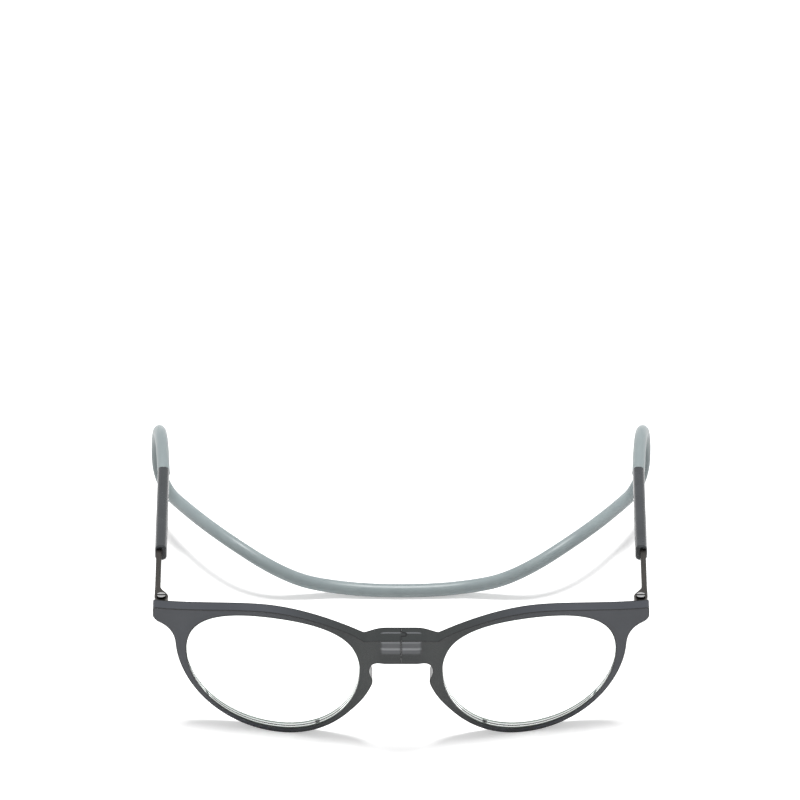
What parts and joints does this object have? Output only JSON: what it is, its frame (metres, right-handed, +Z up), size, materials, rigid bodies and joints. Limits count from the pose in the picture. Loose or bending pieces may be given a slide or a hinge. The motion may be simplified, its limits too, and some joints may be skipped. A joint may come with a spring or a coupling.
{
  "type": "magnetic bridge reading glasses",
  "caption": "Reading glasses that part at a magnetic bridge, with folding arms, sliding sleeves and a soft band behind the neck.",
  "frame": {"origin": "on the floor, midway across and midway along the glasses without their neck band", "axes": "+Z up, -Y to the front of the lenses, +X to the right of the picture seen from the front"},
  "size_m": [0.1456, 0.1225, 0.0455],
  "materials": {
    "front": "semi-gloss translucent grey",
    "lens": "clear polished",
    "magnet": "nickel plated",
    "hinge": "gunmetal",
    "screw": "bright",
    "arm": "gunmetal satin",
    "stud": "polished",
    "sleeve": "satin dark grey",
    "spigot": "satin",
    "band": "matte silicone"
  },
  "bodies": {
    "right_front": {"right_front_frame": "front", "right_lens": "lens", "right_magnet": "magnet", "right_hinge_leaf": "hinge", "right_hinge_screw": "screw", "neck_band": "band"},
    "left_front": {"left_front_frame": "front", "left_lens": "lens", "left_magnet": "magnet", "left_hinge_leaf": "hinge", "left_hinge_screw": "screw"},
    "right_arm": {"right_arm": "arm", "right_stud_rear": "stud", "right_stud_front": "stud"},
    "right_sleeve": {"right_sleeve": "sleeve", "right_spigot": "spigot"},
    "left_arm": {"left_arm": "arm", "left_stud_rear": "stud", "left_stud_front": "stud"},
    "left_sleeve": {"left_sleeve": "sleeve", "left_spigot": "spigot"}
  },
  "joints": [
    {"name": "bridge_parting", "type": "hinge", "parent": "right_front", "child": "left_front", "pos_m": [0, 0.03416, 0.002], "axis": [0, 0, -1], "range_deg": [0, 30], "deforming": ["neck_band"]},
    {"name": "right_arm_fold", "type": "hinge", "parent": "right_front", "child": "right_arm", "pos_m": [0.0677, -0.02544, 0.03895], "axis": [0, 0, 1], "range_deg": [0, 90], "deforming": ["neck_band"]},
    {"name": "left_arm_fold", "type": "hinge", "parent": "left_front", "child": "left_arm", "pos_m": [-0.0677, -0.02544, 0.03895], "axis": [0, 0, -1], "range_deg": [0, 83], "deforming": ["neck_band"]},
    {"name": "right_sleeve_slide", "type": "slide", "parent": "right_arm", "child": "right_sleeve", "axis": [0, 1, 0], "range_m": [0, 0.018], "deforming": ["neck_band"]},
    {"name": "left_sleeve_slide", "type": "slide", "parent": "left_arm", "child": "left_sleeve", "axis": [0, 1, 0], "range_m": [0, 0.018], "deforming": ["neck_band"]}
  ]
}
